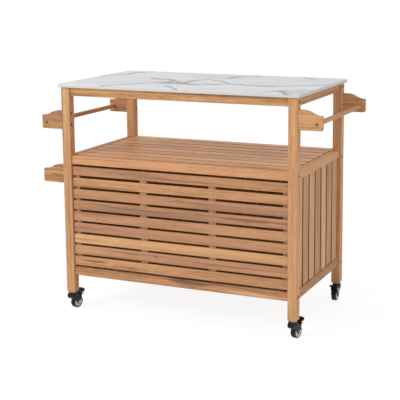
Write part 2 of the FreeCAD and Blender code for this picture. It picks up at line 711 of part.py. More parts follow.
for ns, ew in corners:
    sx = 1 if ew == "right" else -1
    sy = 1 if ns == "back" else -1
    corner = "%s_%s" % (ns, ew)
    place = FreeCAD.Placement(
        point(sx * (post_outer_x - post_side / 2), sy * (post_outer_y - post_side / 2), 0),
        FreeCAD.Rotation(UP, caster_headings[corner]),
    )
    pieces = [("caster_stems", [caster_stem()]), ("caster_fork_" + corner, [caster_fork(), caster_axle()])]
    pieces += [("caster_wheel_" + corner, caster_wheel()), ("caster_pedal_" + corner, [caster_pedal()])]
    for name, solids in pieces:
        for solid in solids:
            add(name, solid.transformed(place.toMatrix()))

os.makedirs("parts", exist_ok=True)
for name, shapes in nodes.items():
    solids = [solid for shape in shapes for solid in shape.Solids]
    shape = solids[0] if len(solids) == 1 else Part.makeCompound(solids)
    shape.exportStep("parts/%s.step" % name)
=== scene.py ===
import bmesh
import bpy
import numpy as np
from mathutils import Matrix, Vector


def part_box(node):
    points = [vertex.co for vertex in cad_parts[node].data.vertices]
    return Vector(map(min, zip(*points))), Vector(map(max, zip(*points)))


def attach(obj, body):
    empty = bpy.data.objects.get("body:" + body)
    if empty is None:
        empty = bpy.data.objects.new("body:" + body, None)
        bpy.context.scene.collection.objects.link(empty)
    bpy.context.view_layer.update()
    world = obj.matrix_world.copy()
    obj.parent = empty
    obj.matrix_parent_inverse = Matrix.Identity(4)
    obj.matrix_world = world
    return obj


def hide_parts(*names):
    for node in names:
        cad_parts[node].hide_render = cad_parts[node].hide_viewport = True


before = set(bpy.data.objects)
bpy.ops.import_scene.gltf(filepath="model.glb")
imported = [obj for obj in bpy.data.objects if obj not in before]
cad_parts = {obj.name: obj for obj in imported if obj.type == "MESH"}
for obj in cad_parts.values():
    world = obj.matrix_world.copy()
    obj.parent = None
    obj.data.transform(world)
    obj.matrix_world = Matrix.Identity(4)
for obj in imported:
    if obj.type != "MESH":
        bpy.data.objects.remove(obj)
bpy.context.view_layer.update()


# Posts: four square legs of oiled acacia, sawn and planed, with rounded arrises. The rails are bolted into
# them, and the stud of a caster is let into the foot of each.
class Shade:
    """One socket of a material, so that sums on values are written as plain Python."""

    def __init__(self, tree, socket=None):
        self.tree = tree
        self.socket = socket

    def node(self, kind, settings=None, sockets=None, out=0):
        """Adds a node, sets its settings, then the values or links of its sockets, and gives one output."""
        made = self.tree.nodes.new("ShaderNode" + kind)
        for name, value in (settings or {}).items():
            if name == "stops":
                ramp = made.color_ramp.elements
                while len(ramp) < len(value):
                    ramp.new(1.0)
                for stop, (place, colour) in zip(ramp, value):
                    stop.position = place
                    stop.color = colour
            elif name == "interpolation":
                made.color_ramp.interpolation = value
            elif name == "line":
                dots = made.mapping.curves[0].points
                dots[0].location = value[0]
                dots[1].location = value[-1]
                for place in value[1:-1]:
                    dots.new(*place)
                made.mapping.update()
            else:
                setattr(made, name, value)
        for name, value in (sockets or {}).items():
            if isinstance(value, Shade):
                self.tree.links.new(value.socket, made.inputs[name])
            else:
                made.inputs[name].default_value = value
        return Shade(self.tree, made.outputs[out] if len(made.outputs) else None)

    def other(self, out):
        return Shade(self.tree, self.socket.node.outputs[out])

    def sum(self, operation, *terms):
        return self.node("Math", {"operation": operation}, dict(enumerate(terms)))

    def __add__(self, term):
        return self.sum("ADD", self, term)

    def __sub__(self, term):
        return self.sum("SUBTRACT", self, term)

    def __rsub__(self, term):
        return self.sum("SUBTRACT", term, self)

    def __mul__(self, term):
        return self.sum("MULTIPLY", self, term)

    def __truediv__(self, term):
        return self.sum("DIVIDE", self, term)

    def __pow__(self, term):
        return self.sum("POWER", self, term)

    def __abs__(self):
        return self.sum("ABSOLUTE", self)

    __radd__ = __add__
    __rmul__ = __mul__

    def step(self, low, high):
        """A smooth step, 0 up to low and 1 from high on, or the other way where high is the smaller."""
        return self.node("MapRange", {"interpolation_type": "SMOOTHSTEP"}, {0: self, 1: low, 2: high})

    def mix(self, under, over):
        """The colour under, covered by the colour over as far as this value says."""
        return self.node("Mix", {"data_type": "RGBA"}, {0: self, 6: under, 7: over}, 2)

    def ramp(self, stops, interpolation="LINEAR"):
        return self.node("ValToRGB", {"interpolation": interpolation, "stops": stops}, {0: self})

    def point(self, x, y, z):
        return self.node("CombineXYZ", {}, {0: x, 1: y, 2: z})

    def noise(self, place, detail=2.0, roughness=0.5):
        sockets = {"Vector": place, "Scale": 1.0, "Detail": detail, "Roughness": roughness}
        return self.node("TexNoise", {}, sockets)

    def axes(self):
        """The three coordinates of a point on the piece."""
        x = self.node("SeparateXYZ", {}, {0: self.node("TexCoord", out="Object")})
        return x, x.other(1), x.other(2)

    def cloud(self, rate, detail=2.0, roughness=0.5, lift=0.0):
        """Noise that is alike in all directions. rate is how many times a metre it changes, and lift picks another
        part of it."""
        x, y, z = self.axes()
        return self.noise(self.point(x * rate, y * rate, z * rate + lift), detail, roughness)

    def bump(self, strength, depth, height):
        return self.node("Bump", {}, {"Strength": strength, "Distance": depth, "Height": height})


def tint(red, green, blue):
    """A colour as it looks on a screen, 0 to 255, in the linear values that a shader takes."""
    seen = np.array((red, green, blue)) / 255
    return (*np.where(seen < 0.04045, seen / 12.92, ((seen + 0.055) / 1.055) ** 2.4), 1.0)


def new_material(name, surface):
    """A material that shows the shader that surface(shade) gives."""
    material = bpy.data.materials.new(name)
    material.use_nodes = True
    material.node_tree.nodes.clear()
    shade = Shade(material.node_tree)
    shade.node("OutputMaterial", {}, {"Surface": surface(shade)})
    return material


def finish_coat(name, build):
    """A material whose Principled sockets, plain values and links alike, are what build(shade) gives."""
    return new_material(name, lambda shade: shade.node("BsdfPrincipled", {}, build(shade)))


def dress(material, *names):
    """Puts a material on CAD nodes in place of their plain one."""
    for name in names:
        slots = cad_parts[name].data.materials
        slots.clear()
        slots.append(material)


def acacia(name, axes, boards, seed, tones=None, level=0.58, spread=0.12, grey=0.2, rose=(188, 130, 98), lighten=1.0,
           worn=None, gap_shade=None, hearts=(), saps=(), rough=0.55, shine=0.28):
    """Oiled acacia. axes are the axes along the grain, across a board and through it. boards gives, for an axis,
    where its first board starts and the pitch of the boards, so that each board has its own number, tone and
    figure. The figure is growth rings round a slanting pith, streaks and fine fibres stretched along the grain,
    grey and pale bands, dark lines and short open pores. tones is an axis with a (tone, blush) pair for each board
    along it, or None for boards that differ by chance, as far as spread says, about a level. A board's blush is how
    far the rose colour covers it, grey is how far the grey bands show, and bleach is how much lighter the whole
    range of brown is. worn gives an axis and half a board's width, and the arris there is rubbed paler. grimed
    gives the same, and the edge there is painted dark, as painted shade in the gap between boards. hearts are dark
    streaks of heartwood and saps pale ones of sapwood, each with its middle along and across the grain, half its
    length and width, and how far it covers."""
    grain, wide, thick = axes
    browns = [(104, 69, 45), (156, 110, 75), (199, 146, 101), (221, 166, 116), (237, 194, 143)]
    stops = [(i / 4, (*(lighten * value for value in tint(*brown)[:3]), 1.0)) for i, brown in enumerate(browns)]
    heart_stain, sap_stain = tint(102, 81, 66), tint(232, 180, 130)
    grey_band, pale_band, dark_line = tint(142, 107, 88), tint(226, 178, 122), tint(108, 70, 48)
    open_pore, rubbed_arris, painted_gap_shade = tint(96, 60, 38), tint(226, 180, 132), tint(84, 55, 37)
    marks = [(heart, heart_stain) for heart in hearts] + [(sap, sap_stain) for sap in saps]
    number_steps = (7.13, 19.37, 53.71)

    def build(shade):
        place = shade.axes()
        local = list(place)
        rows = {}
        number = seed
        for axis, (start, pitch) in boards.items():
            row = (place[axis] - start) / pitch
            rows[axis] = row.sum("FLOOR", row)
            local[axis] = (row - rows[axis] - 0.5) * pitch
            number = number + rows[axis] * number_steps[axis]
        chance = shade.node("TexWhiteNoise", {"noise_dimensions": "1D"}, {"W": number}, 1)
        first = shade.node("SeparateXYZ", {}, {0: chance})
        second, third = first.other(1), first.other(2)

        # where a point is along the grain, across it and through it, and how far it is from the pith
        along = place[grain] + first * 9.0
        wander = shade.noise(shade.point(along * 2.2, local[wide] * 6, second * 40)) - 0.5
        across = local[wide] + wander * 0.018
        deep = local[thick] + third * 0.4
        side = across - (third - 0.5) * 0.11 - along * ((second - 0.5) * 0.06)
        depth = local[thick] + 0.012 + second * 0.06
        ring = (side * side + depth * depth) ** 0.5

        # the figure: each noise is a few times finer across the grain than along it
        bands = shade.noise(shade.point(ring * 150 + wander * 2.0, along * 0.7, first * 30), 1.0)
        streaks = shade.noise(shade.point(along * 2.0, across * 62 + first * 20, deep * 62), 3.0, 0.6)
        smoke = shade.noise(shade.point(along * 1.7 + 4, across * 24 + third * 20, deep * 24))
        fibres = shade.noise(shade.point(along * 9, across * 340, deep * 340 + first * 50), 2.0, 0.6)
        flecks = shade.noise(shade.point(along * 18, across * 230 + third * 30, deep * 230), 2.0, 0.6)
        lines = shade.noise(shade.point(along * 1.3, across * 85 + second * 30, deep * 85), 1.0)
        pores = shade.noise(shade.point(along * 38, across * 900, deep * 900), 1.0).step(0.62, 0.74)

        # the brown of each board, and how the figure lightens and darkens it
        if tones is None:
            tone = level + (second - 0.5) * (2 * spread)
            blush = third * third * grey
        else:
            axis, pairs = tones
            steps = [(i / len(pairs), (tone, blush, 0, 1)) for i, (tone, blush) in enumerate(pairs)]
            stepped = ((rows[axis] + 0.5) / len(pairs)).ramp(steps, "CONSTANT")
            pair = shade.node("SeparateColor", {}, {0: stepped})
            tone = pair + (second - 0.5) * 0.05
            blush = pair.other(1)
        figure = tone + (bands - 0.5) * 0.32 + (streaks - 0.5) * 0.70
        figure = figure + (flecks - 0.5) * 0.80 + (fibres - 0.5) * 0.40
        colour = blush.mix(figure.ramp(stops), tint(*rose))
        colour = (smoke.step(0.50, 0.70) * grey).mix(colour, grey_band)
        colour = (smoke.step(0.46, 0.30) * 0.20).mix(colour, pale_band)
        colour = (lines.step(0.60, 0.76) * 0.5).mix(colour, dark_line)

        # single marks, pores and edges
        for (middle, level_across, half_length, half_width, cover), stain in marks:
            run = (place[grain] - middle) / half_length
            rise = (place[wide] + wander * 0.03 - level_across) / half_width
            away = (run * run + rise * rise) ** 0.5 + (streaks - 0.5) * 2.5 + (flecks - 0.5) * 0.8
            colour = (away.step(1.0, 0.35) * cover).mix(colour, stain)
        colour = (pores * 0.35).mix(colour, open_pore)
        if worn:
            axis, half = worn
            arris = abs(local[axis]).step(half - 0.0028, half - 0.0004)
            colour = (arris * (0.06 + fibres * 0.2)).mix(colour, rubbed_arris)
        # painted shade: a board's edge beside a gap is darkened, as if the gap lay in shade
        if gap_shade:
            axis, half = gap_shade
            edge = abs(local[axis]).step(half - 0.0016, half - 0.0002)
            colour = (edge * (0.70 + fibres * 0.3)).mix(colour, painted_gap_shade)
        return {
            "Base Color": colour,
            "Roughness": rough + (streaks - 0.5) * 0.2 + pores * 0.15,
            "Normal": shade.bump(0.25, 0.0004, fibres * 0.5 + bands * 0.3 - pores * 0.8),
            "Specular IOR Level": shine,
        }

    return finish_coat(name, build)


X, Y, Z = 0, 1, 2
POST_X = 0.472
POST_Y = 0.262
post_rows = {X: (-2 * POST_X, 2 * POST_X), Y: (-2 * POST_Y, 2 * POST_Y)}
post_wood = acacia("post_acacia", (Z, X, Y), post_rows, 3.0, level=0.68, spread=0.05)
corners = [row + "_" + side for row in ("front", "back") for side in ("left", "right")]
dress(post_wood, *["post_" + corner for corner in corners])


# Rails: three levels of straight planed rails between the posts. The long ones, at the front and back, take
# the bolts in their ends. The short side ones are dowelled.
LEVEL_ROW = (0.0, 0.25)
SIDE_ROW = (-0.94, 0.94)
FRONT_BACK_ROW = (-0.52, 0.52)
RAIL_ROSE = (208, 140, 100)
BOTTOM_TONE, EMPTY_TONE, SHELF_TONE, TOP_TONE = (0.43, 0.1), (0.5, 0.2), (0.84, 0.55), (0.52, 0.0)
rail_tones = (Z, [BOTTOM_TONE, EMPTY_TONE, SHELF_TONE, TOP_TONE])
bottom_rail_hearts = [
    (0.05, 0.162, 0.12, 0.018, 0.75),
    (0.27, 0.171, 0.24, 0.010, 0.35),
    (-0.20, 0.158, 0.07, 0.006, 0.4),
]
bottom_rail_sap = [(0.34, 0.157, 0.24, 0.012, 0.9)]
long_rail_wood = acacia("long_rail_acacia", (X, Z, Y), {Y: FRONT_BACK_ROW, Z: LEVEL_ROW}, 11.0, rail_tones,
                        rose=RAIL_ROSE, hearts=bottom_rail_hearts, saps=bottom_rail_sap)
short_rail_wood = acacia("short_rail_acacia", (Y, Z, X), {X: SIDE_ROW, Z: LEVEL_ROW}, 17.0, rail_tones,
                         rose=RAIL_ROSE)
for level in ("top", "shelf", "bottom"):
    dress(long_rail_wood, level + "_rail_front", level + "_rail_back")
    dress(short_rail_wood, level + "_rail_left", level + "_rail_right")


# Shelf and cabinet floor: rows of thin acacia boards laid along the cart on bearers, with a gap between the
# boards so that rain runs through. The arrises of the shelf boards are rounded. The shelf boards are painted
# paler, as painted light under the tabletop's shade, and their edges are painted dark, as painted shade in the
# gaps. The cabinet floor is painted darker, as painted shade inside the cabinet.
def pitch_of(node, axis, count, gap):
    """Where the first board of a row starts and how far apart the boards are, half a gap before each."""
    low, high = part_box(node)
    gap_before = low[axis] - gap / 2
    return gap_before, (high[axis] - low[axis] + gap) / count


def middles(row, count):
    """The middle of each board in a row."""
    start, pitch = row
    return start + pitch * (np.arange(count) + 0.5)


def shell(name, points, material, body, crease=35.0):
    """A piece from points[copy, row, column]: each row is a closed ring, and the rows are joined in order.
    A ring that shrinks to one point closes an end. Edges that turn by more than crease degrees stay sharp."""
    copies, rows, columns, _ = points.shape
    number = np.arange(copies * rows * columns).reshape(copies, rows, columns)
    here = number[:, :-1]
    above = number[:, 1:]
    faces = np.stack([here, np.roll(here, -1, 2), np.roll(above, -1, 2), above], -1).reshape(-1, 4)
    mesh = bpy.data.meshes.new(name)
    mesh.from_pydata(points.reshape(-1, 3).tolist(), [], faces.tolist())
    work = bmesh.new()
    work.from_mesh(mesh)
    bmesh.ops.remove_doubles(work, verts=work.verts, dist=1e-6)
    bmesh.ops.recalc_face_normals(work, faces=work.faces)
    work.to_mesh(mesh)
    work.free()
    mesh.polygons.foreach_set("use_smooth", np.ones(len(mesh.polygons), bool))
    mesh.set_sharp_from_angle(angle=np.radians(crease))
    mesh.materials.append(material)
    piece = bpy.data.objects.new(name, mesh)
    bpy.context.scene.collection.objects.link(piece)
    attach(piece, body)
    return piece


def planed_boards(name, node, axes, middle, width, material, ease=0.0025):
    """A row of straight boards with rounded arrises, in place of a node. The section is a rectangle whose corners
    are quarter circles, centre + ease * (cos, sin), and it is carried along the grain. Each end narrows by half
    the ease over its last stretch, and then closes on its middle."""
    grain, wide, thick = axes
    low, high = (np.array(corner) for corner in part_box(node))
    half_width = np.broadcast_to(np.asarray(width) / 2 - ease, middle.shape)[:, None]
    half_depth = np.array([(high[thick] - low[thick]) / 2 - ease])
    quarter = np.linspace(0, np.pi / 2, 5)
    turn = np.concatenate([quarter + corner * np.pi / 2 for corner in range(4)])
    across = np.repeat([1, -1, -1, 1], 5) * half_width + ease * np.cos(turn)
    through = np.repeat([1, 1, -1, -1], 5) * half_depth + ease * np.sin(turn)
    narrow = ease / 2
    start, end = low[grain], high[grain]

    def part(half):
        """How much of the section each ring shows: none, narrowed, all, and back again."""
        narrowed = 1 - narrow / half
        none, all_of_it = np.zeros_like(half), np.ones_like(half)
        return np.concatenate([none, narrowed, all_of_it, all_of_it, narrowed, none], -1)

    points = np.empty((len(middle), 6, len(turn), 3))
    points[..., grain] = np.array([start, start, start + narrow, end - narrow, end, end])[:, None]
    points[..., wide] = middle[:, None, None] + part(half_width)[:, :, None] * across[:, None]
    points[..., thick] = (low[thick] + high[thick]) / 2 + part(half_depth)[:, None] * through
    piece = shell(name, points, material, "frame", 50.0)
    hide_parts(node)


SHELF_COUNT = 8
SHELF_GAP = 0.007
shelf_row = pitch_of("shelf_slats", Y, SHELF_COUNT, SHELF_GAP)
shelf_width = shelf_row[1] - SHELF_GAP
shelf_tones = (Y, [
    (0.66, 0.25), (0.76, 0.15), (0.66, 0.25), (0.74, 0.20), (0.63, 0.30), (0.76, 0.15), (0.68, 0.2), (0.72, 0.20),
])
shelf_hearts = [
    (0.34, -0.225, 0.12, 0.014, 0.5),
    (-0.36, -0.225, 0.10, 0.009, 0.4),
    (0.05, -0.08, 0.16, 0.010, 0.4),
    (-0.15, 0.06, 0.13, 0.008, 0.35),
    (0.28, 0.10, 0.16, 0.009, 0.35),
]
# The shelf boards are painted paler and warmer than the rest of the wood, as painted light under the tabletop's shade;
# their edges are painted dark, as painted shade in the gaps.
shelf_wood = acacia("shelf_acacia", (X, Y, Z), {Y: shelf_row}, 23.0, shelf_tones, rose=(226, 164, 122), lighten=1.25,
                    gap_shade=(Y, shelf_width / 2), hearts=shelf_hearts, rough=0.47, shine=0.30)
planed_boards("shelf_boards", "shelf_slats", (X, Y, Z), middles(shelf_row, SHELF_COUNT), shelf_width, shelf_wood)

FLOOR_COUNT = 8
FLOOR_GAP = 0.005
BEARER_ROW = (-0.6, 0.3)
floor_row = pitch_of("floor_slats", Y, FLOOR_COUNT, FLOOR_GAP)
# The cabinet floor is painted darker, as painted shade inside the cabinet seen through the gaps.
floor_wood = acacia("floor_acacia", (X, Y, Z), {Y: floor_row}, 27.0, level=0.35)
dress(floor_wood, "floor_slats")
bearer_wood = acacia("bearer_acacia", (Y, X, Z), {X: BEARER_ROW, Z: LEVEL_ROW}, 29.0)
dress(bearer_wood, "shelf_bearers", "floor_bearers")


# Front panel: nine level slats, each cut from a different board, with rounded arrises. They are screwed from
# inside to four upright battens. The gaps between them open a little towards the top.
FRONT_COUNT = 9
FRONT_CAD_GAP = 0.0076
FRONT_GAPS = np.linspace(0.0080, 0.0104, FRONT_COUNT)
front_row = pitch_of("front_slats", Z, FRONT_COUNT, FRONT_CAD_GAP)
front_widths = front_row[1] - FRONT_GAPS
front_levels = middles(front_row, FRONT_COUNT)
front_tones = (Z, [
    (0.53, 0.1), (0.58, 0.6), (0.70, 0.1), (0.52, 0.6), (0.62, 0.45), (0.46, 0.55), (0.54, 0.6), (0.57, 0.2),
    (0.44, 0.35),
])
front_hearts = [
    (-0.36, front_levels[0] + 0.004, 0.09, 0.007, 0.7),
    (-0.20, front_levels[0] - 0.006, 0.10, 0.005, 0.45),
    (-0.09, front_levels[1] + 0.004, 0.008, 0.006, 0.7),
    (0.02, front_levels[6], 0.16, 0.009, 0.4),
    (0.30, front_levels[5], 0.12, 0.006, 0.5),
    (-0.30, front_levels[5] + 0.006, 0.13, 0.006, 0.4),
]
front_sap = [(0.12, front_levels[2], 0.44, 0.022, 0.5)]
front_wood = acacia("front_slat_acacia", (X, Z, Y), {Z: front_row}, 37.0, front_tones, grey=0.5, rose=(188, 137, 109),
                    worn=(Z, front_widths.mean() / 2), hearts=front_hearts, saps=front_sap)
planed_boards("front_boards", "front_slats", (X, Z, Y), front_levels, front_widths, front_wood)

BATTEN_PLACES = np.array([-0.440, -0.1453, 0.1453, 0.440])
BATTEN_WIDTHS = (0.022, 0.030, 0.030, 0.022)
BATTEN_EASE = 0.0015
BATTEN_ROW = (-0.6, 0.3)
batten_wood = acacia("batten_acacia", (Z, X, Y), {X: BATTEN_ROW}, 41.0, level=0.74)
planed_boards("front_panel_battens", "front_battens", (Z, X, Y), BATTEN_PLACES, BATTEN_WIDTHS, batten_wood, BATTEN_EASE)


# Side panels: seven upright slats on each side between the side rails, screwed from inside to two level
# battens. Their edges are painted dark, as painted shade in the gaps between them.
SIDES = {"left": -1, "right": 1}
SIDE_COUNT = 7
SIDE_CAD_GAP = 0.006
SIDE_GAP = 0.010
INNER_LEVEL_ROW = (0.0, 0.4)
side_row = pitch_of("side_slats_left", Y, SIDE_COUNT, SIDE_CAD_GAP)
side_width = side_row[1] - SIDE_GAP
side_places = middles(side_row, SIDE_COUNT)
side_tones = (Y, [(0.84, 0.0), (0.72, 0.4), (0.78, 0.1), (0.70, 0.5), (0.86, 0.0), (0.70, 0.2), (0.84, 0.3)])
# The side slats' edges are painted dark, as painted shade in the gaps between them.
side_wood = acacia("side_slat_acacia", (Z, Y, X), {X: SIDE_ROW, Y: side_row}, 43.0, side_tones, grey=0.5,
                   gap_shade=(Y, side_width / 2))
for side in SIDES:
    planed_boards("side_boards_" + side, "side_slats_" + side, (Z, Y, X), side_places, side_width, side_wood)
side_batten_wood = acacia("side_batten_acacia", (Y, Z, X), {X: SIDE_ROW, Z: INNER_LEVEL_ROW}, 47.0)
dress(side_batten_wood, "side_battens_left", "side_battens_right")


# Doors: two ledged and braced doors of upright slats at the back, with a strip under the shelf rail to close
# against. Each has a turned wooden knob, which replaces the plain solid.
DOOR_COUNT = 8
DOOR_GAP = 0.0025
DOOR_ROW = (-1.0, 1.0)
door_slat_row = pitch_of("door_slats_right", X, DOOR_COUNT, DOOR_GAP)
door_wood = acacia("door_slat_acacia", (Z, X, Y), {X: door_slat_row}, 53.0,
                   worn=(X, (door_slat_row[1] - DOOR_GAP) / 2))
dress(door_wood, "door_slats_left", "door_slats_right")
ledge_wood = acacia("door_ledge_acacia", (X, Z, Y), {X: DOOR_ROW, Z: INNER_LEVEL_ROW}, 59.0)
dress(ledge_wood, "door_battens_left", "door_battens_right", "door_stop")


def turned(height, radius, seats, directions, columns=32):
    """Turns a profile about an axis at each seat: seat + direction * height + radius * (side * cos + up * sin).
    The height and the radius may differ from column to column."""
    seats = np.asarray(seats, float)[:, None, None]
    directions = np.asarray(directions, float)
    helper = np.where(np.abs(directions[:, 2:]) > 0.9, (1.0, 0.0, 0.0), (0.0, 0.0, 1.0))
    side = np.cross(helper, directions)
    up = np.cross(directions, side)[:, None, None]
    side = side[:, None, None]
    turn = np.arange(columns) * (2 * np.pi / columns)
    height = np.broadcast_to(np.reshape(height, (len(height), -1)), (len(height), columns))[..., None]
    radius = np.broadcast_to(np.reshape(radius, (len(radius), -1)), (len(radius), columns))
    round_it = (radius * np.cos(turn))[..., None] * side + (radius * np.sin(turn))[..., None] * up
    return seats + height * directions[:, None, None] + round_it


KNOB_NECK_HEIGHT = 0.003
KNOB_NECK_RADIUS = 0.0065
KNOB_FOOT_RADIUS = 0.007
KNOB_RADIUS = 0.014
KNOB_MIDDLE = 0.0065
KNOB_HALF_THICKNESS = 0.0035
KNOB_FULLNESS = 0.45
KNOB_ROW = (-0.0548, 0.0548)
knob_turn = np.linspace(-np.pi / 2, np.pi / 2, 25)
knob_height = np.concatenate([[0.0, 0.0, KNOB_NECK_HEIGHT], KNOB_MIDDLE + KNOB_HALF_THICKNESS * np.sin(knob_turn)])
knob_radius = np.concatenate([[0.0, KNOB_FOOT_RADIUS, KNOB_NECK_RADIUS],
                              KNOB_RADIUS * np.abs(np.cos(knob_turn)) ** KNOB_FULLNESS])
knob_radius[3] = KNOB_NECK_RADIUS
knob_wood = acacia("knob_acacia", (Y, X, Z), {X: KNOB_ROW}, 61.0)
for side in SIDES:
    low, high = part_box("door_knob_" + side)
    middle = (low + high) / 2
    seat = [(middle.x, low.y, middle.z)]
    knob = shell("turned_knob_" + side, turned(knob_height, knob_radius, seat, [(0, 1, 0)]), knob_wood,
                 "door_" + side, 50.0)
    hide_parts("door_knob_" + side)


# Hinges: stainless surface hinges, pressed leaves rolled round a pin, each leaf held by two countersunk screws
# with cross slots.
def brushed_steel(shade):
    """Stainless sheet with fine level brush lines and faint stains."""
    x, y, z = shade.axes()
    streaks = shade.noise(shade.point(x * 60, y * 900, z * 2600))
    return {
        "Base Color": shade.cloud(90, 3.0).step(0.3, 0.75).mix(tint(196, 196, 198), tint(166, 164, 160)),
        "Roughness": 0.28 + (streaks - 0.5) * 0.25,
        "Metallic": 1.0,
        "Normal": shade.bump(0.15, 0.0001, streaks),
    }


hinge_steel = finish_coat("hinge_steel", brushed_steel)
dress(hinge_steel, "frame_hinges", "door_hinge_leaves_left", "door_hinge_leaves_right")

HINGE_LEVELS = (0.227, 0.536)
HINGE_LINE = 0.453
LEAF_FACE = 0.2816
SCREW_RISE = 0.0105
SCREW_REACH = 0.0135
SCREW_COLUMNS = 32
SCREW_RADII = (0.0026, 0.0026, 0.0022, 0.0018, 0.0015, 0.0)
SCREW_RIM_HEIGHTS = (-0.0005, 0.0002, 0.00045, 0.0005)
SCREW_TOP = 0.00052
SLOT_FLOOR = -0.0002
SLOT_SHARE = 0.55
screw_turn = np.arange(SCREW_COLUMNS) * (2 * np.pi / SCREW_COLUMNS)
in_slot = np.abs(np.sin(2 * (screw_turn - np.pi / 4))) < SLOT_SHARE
plain = np.ones(SCREW_COLUMNS)
screw_height = np.array([
    *np.multiply.outer(SCREW_RIM_HEIGHTS, plain),
    np.where(in_slot, SLOT_FLOOR, SCREW_TOP),
    np.where(in_slot, SLOT_FLOOR, 0.0),
])
screw_radius = np.multiply.outer(SCREW_RADII, plain)
leaf_screws = [("frame", (-1, 1), SCREW_REACH)]
leaf_screws += [("door_" + side, (hand,), -SCREW_REACH) for side, hand in SIDES.items()]
for body, hands, outward in leaf_screws:
    seats = [
        (hand * (HINGE_LINE + outward), LEAF_FACE, level + rise)
        for hand in hands for level in HINGE_LEVELS for rise in (-SCREW_RISE, SCREW_RISE)
    ]
    screws = turned(screw_height, screw_radius, seats, [(0, 1, 0)] * len(seats), SCREW_COLUMNS)
    shell("hinge_screws_" + body, screws, hinge_steel, body)


# Panel screws: the same cross-slotted stainless screws, driven from inside. One goes through each batten or
# ledge into each board of the front, the sides and the doors.
BATTEN_FACE = -0.245
SIDE_BATTEN_FACE = 0.449
SIDE_BATTEN_LEVELS = (0.211, 0.564)
LEDGE_FACE = 0.253
DOOR_SLAT_START = 0.02856
DOOR_SLAT_PITCH = 0.056625
SMALL_COLUMNS = SCREW_COLUMNS // 2
small_height = screw_height[:, ::2]
small_radius = screw_radius[:, ::2]
front_seats = [(x, BATTEN_FACE, z) for x in BATTEN_PLACES for z in front_levels]
side_seats = [
    (hand * SIDE_BATTEN_FACE, y, z) for hand in SIDES.values() for y in side_places for z in SIDE_BATTEN_LEVELS
]
panel_out = [(0, 1, 0)] * len(front_seats) + [(-np.sign(seat[X]), 0, 0) for seat in side_seats]
screws = turned(small_height, small_radius, front_seats + side_seats, panel_out, SMALL_COLUMNS)
shell("panel_screws", screws, hinge_steel, "frame")
for side, hand in SIDES.items():
    slat_places = [hand * (DOOR_SLAT_START + i * DOOR_SLAT_PITCH) for i in range(DOOR_COUNT)]
    seats = [(x, LEDGE_FACE, level) for x in slat_places for level in HINGE_LEVELS]
    screws = turned(small_height, small_radius, seats, [(0, -1, 0)] * len(seats), SMALL_COLUMNS)
    shell("ledge_screws_" + side, screws, hinge_steel, "door_" + side)


# Tabletop: one thin slab with a white marble look, a few grey veins running across it and faint clouding,
# ground smooth with a satin polish. It lies on the posts and top rails.
SLAB_TOP_ARRIS = (0.9124, 0.9116)
SLAB_WHITE, SLAB_CLOUD, SLAB_EDGE = tint(234, 235, 238), tint(219, 221, 225), tint(216, 214, 207)
HAIRLINE_GREY, VEIN_GREY = tint(150, 150, 150), tint(112, 112, 108)
VEINS = [
    (X, 0.008, [(-0.33, -0.29), (-0.255, -0.243), (-0.221, -0.189), (-0.203, -0.16), (-0.145, -0.112),
                (-0.08, -0.10)]),
    (X, 0.010, [(-0.26, 0.035), (-0.193, 0.014), (-0.162, 0.016), (-0.137, -0.005), (-0.123, -0.065),
                (-0.10, -0.12)]),
    (X, 0.010, [(-0.15, -0.11), (-0.092, -0.106), (-0.044, -0.085), (-0.004, -0.12), (0.044, -0.099),
                (0.101, -0.09), (0.133, -0.055), (0.162, -0.053), (0.205, -0.071), (0.284, -0.078),
                (0.33, -0.064), (0.40, -0.024), (0.437, -0.01), (0.469, 0.024), (0.53, 0.08)]),
    (Y, 0.007, [(-0.11, -0.05), (-0.038, -0.052), (0.006, -0.047), (0.047, -0.031), (0.099, -0.002),
                (0.133, 0.046), (0.176, 0.05), (0.231, 0.076), (0.26, 0.12), (0.30, 0.16)]),
    (X, 0.008, [(0.01, 0.03), (0.061, 0.025), (0.1, -0.021), (0.14, -0.055)]),
    (X, 0.012, [(-0.17, -0.085), (-0.092, -0.098), (-0.03, -0.112), (0.05, -0.12)]),
    (X, 0.007, [(-0.17, -0.02), (-0.12, -0.035), (-0.06, -0.085), (-0.02, -0.10)]),
    (X, 0.007, [(0.36, -0.20), (0.40, -0.225), (0.45, -0.23), (0.50, -0.20)]),
    (X, 0.008, [(-0.085, -0.20), (-0.04, -0.231), (-0.004, -0.272), (0.03, -0.305)]),
    (X, 0.009, [(0.34, -0.31), (0.363, -0.257), (0.389, -0.209), (0.427, -0.192), (0.467, -0.17), (0.52, -0.15)]),
    (X, 0.009, [(0.385, -0.20), (0.427, -0.257), (0.437, -0.275), (0.459, -0.283), (0.47, -0.269), (0.51, -0.235)]),
    (Y, 0.008, [(0.0, -0.51), (0.074, -0.493), (0.1, -0.47), (0.139, -0.426), (0.2, -0.423), (0.236, -0.404),
                (0.31, -0.36)]),
    (X, 0.006, [(0.29, 0.295), (0.356, 0.245), (0.40, 0.235)]),
]


